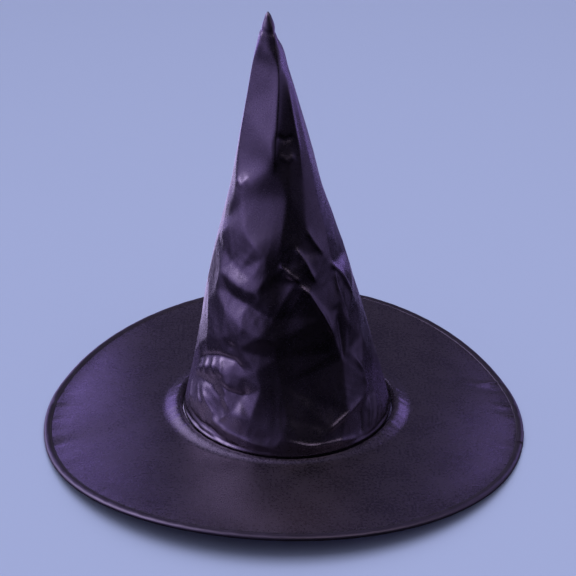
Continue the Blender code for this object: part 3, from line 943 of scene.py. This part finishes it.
lap = make_lap()
wear(lap, tape_satin)
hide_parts("binding_lap")
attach(lap, "hat")

for name, side in (("edge_stitches_top", 1), ("edge_stitches_under", -1)):
    row = edge_stitches(name, side)
    wear(row, cotton)
    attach(row, "hat")
    if side > 0:
        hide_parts("binding_topstitch")

band = make_sweatband()
wear(band, ribbon)
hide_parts("sweatband")
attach(band, "hat")

for node, finish in (("brim_wire", steel), ("wire_ferrule", steel), ("sweatband_stitch", cotton)):
    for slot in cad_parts[node].material_slots:
        slot.material = finish


# ---------------------------------------------------------------- stage, light and camera
def make_floor():
    """A plain pale floor, wide enough to fill every view."""
    half = 12.0
    mesh = bpy.data.meshes.new("floor")
    corners = [(-half, -half, 0), (half, -half, 0), (half, half, 0), (-half, half, 0)]
    mesh.from_pydata(corners, [], [(0, 1, 2, 3)])
    floor = bpy.data.objects.new("floor", mesh)
    bpy.context.scene.collection.objects.link(floor)
    made, _, shader = new_material("pale_paper_floor")
    settle(shader, Base_Color=colour("#abb6e6"), Roughness=0.9, Specular_IOR_Level=0.1)
    wear(floor, made)
    floor.visible_glossy = False  # the hat's gloss shows the room instead


def soft_light(name, place, aim, size, power, tint="#ffffff"):
    data = bpy.data.lights.new(name, "AREA")
    data.shape = "RECTANGLE"
    data.size, data.size_y = size
    data.energy = power
    data.color = colour(tint)[:3]
    lamp = bpy.data.objects.new(name, data)
    bpy.context.scene.collection.objects.link(lamp)
    lamp.location = place
    lamp.rotation_euler = (Vector(aim) - Vector(place)).to_track_quat("-Z", "Y").to_euler()
    return lamp


def make_world():
    """A pale room, lit from the left and from above and dark at the front right, as the gloss shows it.

    The light's strength is a ramp of the compass direction, from the back round by the left, the front
    and the right, times a ramp of the height above the horizon. To the eye it is one plain pale colour.
    """
    world = bpy.data.worlds.new("studio")
    bpy.context.scene.world = world
    world.use_nodes = True
    tree = world.node_tree
    back = tree.nodes["Background"]
    way = add(tree, "ShaderNodeTexCoord")
    part = add(tree, "ShaderNodeSeparateXYZ", Vector=way.outputs["Generated"])
    front = add(tree, "ShaderNodeMath", {"operation": "MULTIPLY"}, i0=part.outputs[1], i1=-1.0)
    compass = add(tree, "ShaderNodeMath", {"operation": "ARCTAN2"}, i0=part.outputs[0], i1=front.outputs[0])
    share = add(tree, "ShaderNodeMapRange", Value=compass.outputs[0], From_Min=-np.pi, From_Max=np.pi)
    around = ramp(tree, share.outputs[0], ROUND_LIGHT, 180)
    climb = add(tree, "ShaderNodeMapRange", Value=part.outputs[2], From_Min=-1.0)
    upward = ramp(tree, climb.outputs[0], HIGH_LIGHT, 1)
    both = add(tree, "ShaderNodeMix", {"data_type": "RGBA", "blend_type": "MULTIPLY"}, i0=1.0)
    tree.links.new(around, both.inputs[6])
    tree.links.new(upward, both.inputs[7])
    light = both.outputs[2]
    for bearing, height, outer, inner, strength in PATCHES:
        turn, rise = np.radians((bearing, height))
        middle = (np.sin(turn) * np.cos(rise), -np.cos(turn) * np.cos(rise), np.sin(rise))
        toward = add(
            tree, "ShaderNodeVectorMath", {"operation": "DOT_PRODUCT"}, i0=way.outputs["Generated"], i1=middle
        )
        patch = add(
            tree,
            "ShaderNodeMapRange",
            {"interpolation_type": "SMOOTHSTEP"},
            Value=toward.outputs["Value"],
            From_Min=np.cos(np.radians(outer)),
            From_Max=np.cos(np.radians(inner)),
        )
        added = {"data_type": "RGBA", "blend_type": "ADD"}
        more = add(tree, "ShaderNodeMix", added, i0=patch.outputs[0], i6=light)
        more.inputs[7].default_value = (*strength, 1)
        light = more.outputs[2]
    seen = add(tree, "ShaderNodeLightPath")
    top = add(tree, "ShaderNodeMapRange", Value=part.outputs[2], From_Min=0.3, From_Max=0.8, To_Max=0.79)
    dim = add(tree, "ShaderNodeMix", {"data_type": "RGBA"}, i0=seen.outputs["Is Glossy Ray"])
    tree.links.new(top.outputs[0], dim.inputs[6])
    tree.links.new(light, dim.inputs[7])
    shown = add(tree, "ShaderNodeMix", {"data_type": "RGBA"}, i0=seen.outputs["Is Camera Ray"])
    tree.links.new(dim.outputs[2], shown.inputs[6])
    shown.inputs[7].default_value = colour("#a7b4dc")
    tree.links.new(shown.outputs[2], back.inputs["Color"])


# (compass direction in degrees, 0 at the front and + to the right; brightness)
ROUND_LIGHT = (
    (-180, 0.06), (-150, 0.08), (-125, 0.34), (-90, 0.46), (-60, 0.50), (-42, 0.30),
    (-25, 0.10), (-8, 0.026), (8, 0.010), (52, 0.010), (74, 0.10), (100, 0.26),
    (120, 0.06), (142, 0.06), (160, 0.06), (180, 0.06),
)
# (sine of the height above the horizon; brightness)
HIGH_LIGHT = (
    (-1, 0.03), (-0.45, 0.05), (-0.24, 0.16), (-0.1, 0.6), (0.06, 1.2), (0.3, 1.1), (0.6, 1.0), (1, 0.6),
)
# Brighter patches: (compass direction, height above the horizon, half width out to nothing, half width
# of the full brightness, all in degrees; colour times brightness)
PATCHES = (
    (-84, 35, 27, 12, (2.7, 2.6, 3.7)),
    (-122, 28, 22, 8, (1.5, 1.45, 2.2)),
    (42, 50, 23, 6, (1.4, 1.25, 1.7)),
    (-165, -22, 26, 8, (1.5, 1.3, 2.3)),
    (165, -20, 20, 6, (0.3, 0.25, 0.6)),
)


def ramp(tree, value, stops, reach):
    """A colour ramp through (place from -reach to reach, brightness), tinted like a pale lavender wall."""
    node = add(tree, "ShaderNodeValToRGB", Fac=value)
    node.color_ramp.interpolation = "EASE"
    marks = node.color_ramp.elements
    for place, bright in stops[1:-1]:
        marks.new((place / reach + 1) / 2)
    for mark, (place, bright) in zip(marks, stops):
        mark.position = (place / reach + 1) / 2
        tint = (1.0, 0.84, 1.9) if reach > 1 else (1, 1, 1)
        mark.color = (*(bright * part for part in tint), 1)
    return node.outputs[0]


def make_camera():
    """The viewing angle: from the front, looking down at the brim, a little turned about its own axis."""
    pitch, roll = np.radians(26.63), np.radians(0.56)
    distance = 1.3
    data = bpy.data.cameras.new("camera")
    data.sensor_width, data.lens = 36.0, 92.03125  # in mm
    data.clip_start, data.clip_end = 0.05, 50
    camera = bpy.data.objects.new("camera", data)
    bpy.context.scene.collection.objects.link(camera)
    target = Vector((2.61, -4.24, 135.98)) * MM
    forward = Vector((0, np.cos(pitch), -np.sin(pitch)))
    turned = forward.to_track_quat("-Z", "Y").to_matrix().to_4x4() @ Matrix.Rotation(roll, 4, "Z")
    camera.matrix_world = Matrix.Translation(target - forward * distance) @ turned
    bpy.context.scene.camera = camera


make_floor()
make_world()
overhead = soft_light("overhead", (0.1, -0.3, 3.4), (0, 0.3, 0), (2.9, 2.9), 48)
overhead.visible_glossy = False
for name, place, size, power in (
    ("card_left", (-0.61, 0.62, 0.23), (0.44, 0.28), 0.76),
    ("card_right", (0.73, 0.62, 0.28), (0.44, 0.36), 0.95),
):
    card = soft_light(name, place, (place[0], 0, place[2]), size, power, "#b09cff")
    card.visible_camera = card.visible_diffuse = False  # it shows only as gloss on the brim
make_camera()
bpy.context.scene.view_settings.view_transform = "Standard"
